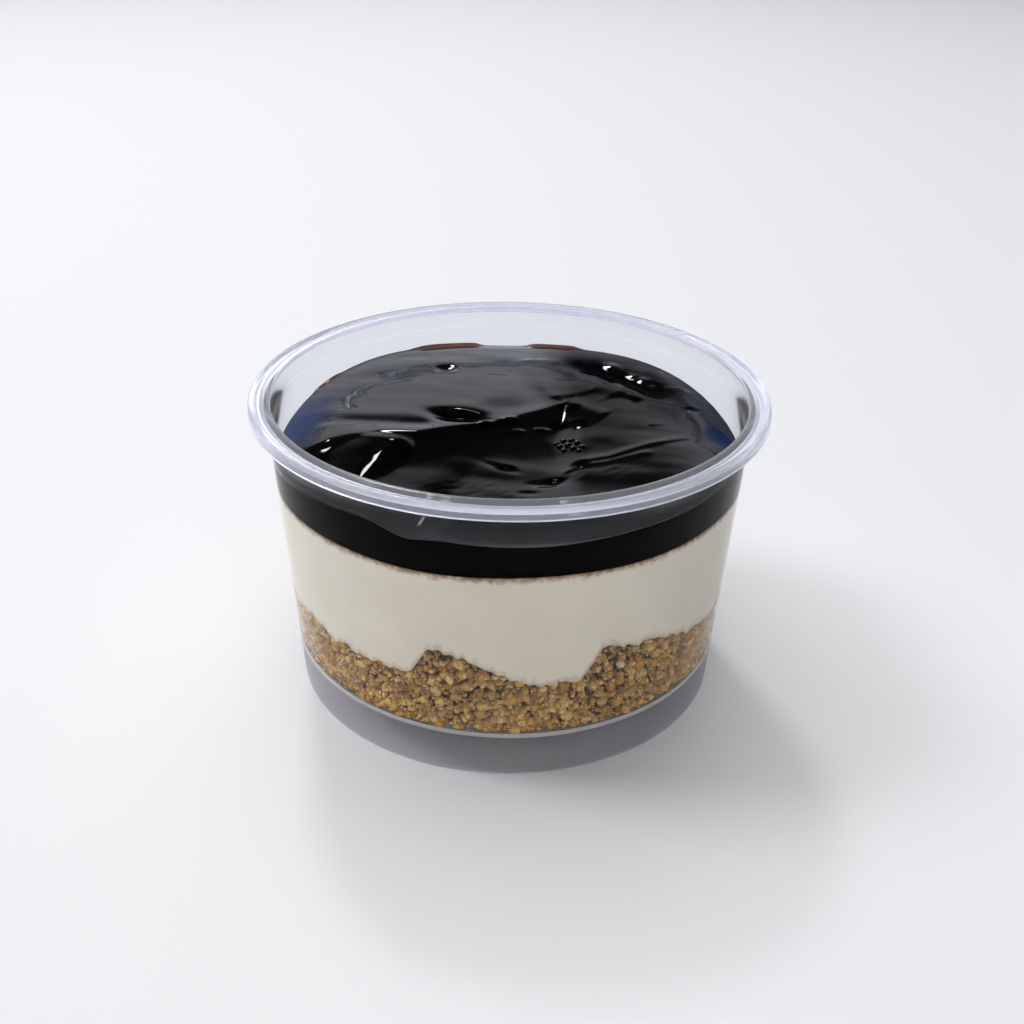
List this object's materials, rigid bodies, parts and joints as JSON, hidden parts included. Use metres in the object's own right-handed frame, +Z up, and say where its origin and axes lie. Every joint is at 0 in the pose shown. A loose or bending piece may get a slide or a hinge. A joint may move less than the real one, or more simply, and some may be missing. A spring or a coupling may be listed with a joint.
{
  "type": "layered cheesecake dessert cup",
  "caption": "Clear moulded dessert cup with a biscuit crumb base, a cream layer and a glossy dark berry topping, open at the top.",
  "frame": {"origin": "centre of the foot ring, on the surface that the cup stands on", "axes": "+Z up along the cup's axis, +Y to the back, +X to the right"},
  "size_m": [0.095, 0.095, 0.057],
  "materials": {
    "clear_plastic": "clear injection-moulded polypropylene, smooth, slightly hazy",
    "biscuit_crumb": "coarse buttered biscuit crumb, matt, uneven",
    "cream": "smooth dense cream, soft satin",
    "berry_sauce": "thick near-black berry sauce, wet gloss"
  },
  "bodies": {
    "root": {"cup": "clear_plastic", "biscuit_base": "biscuit_crumb", "cream_layer": "cream", "berry_topping": "berry_sauce"}
  },
  "joints": []
}
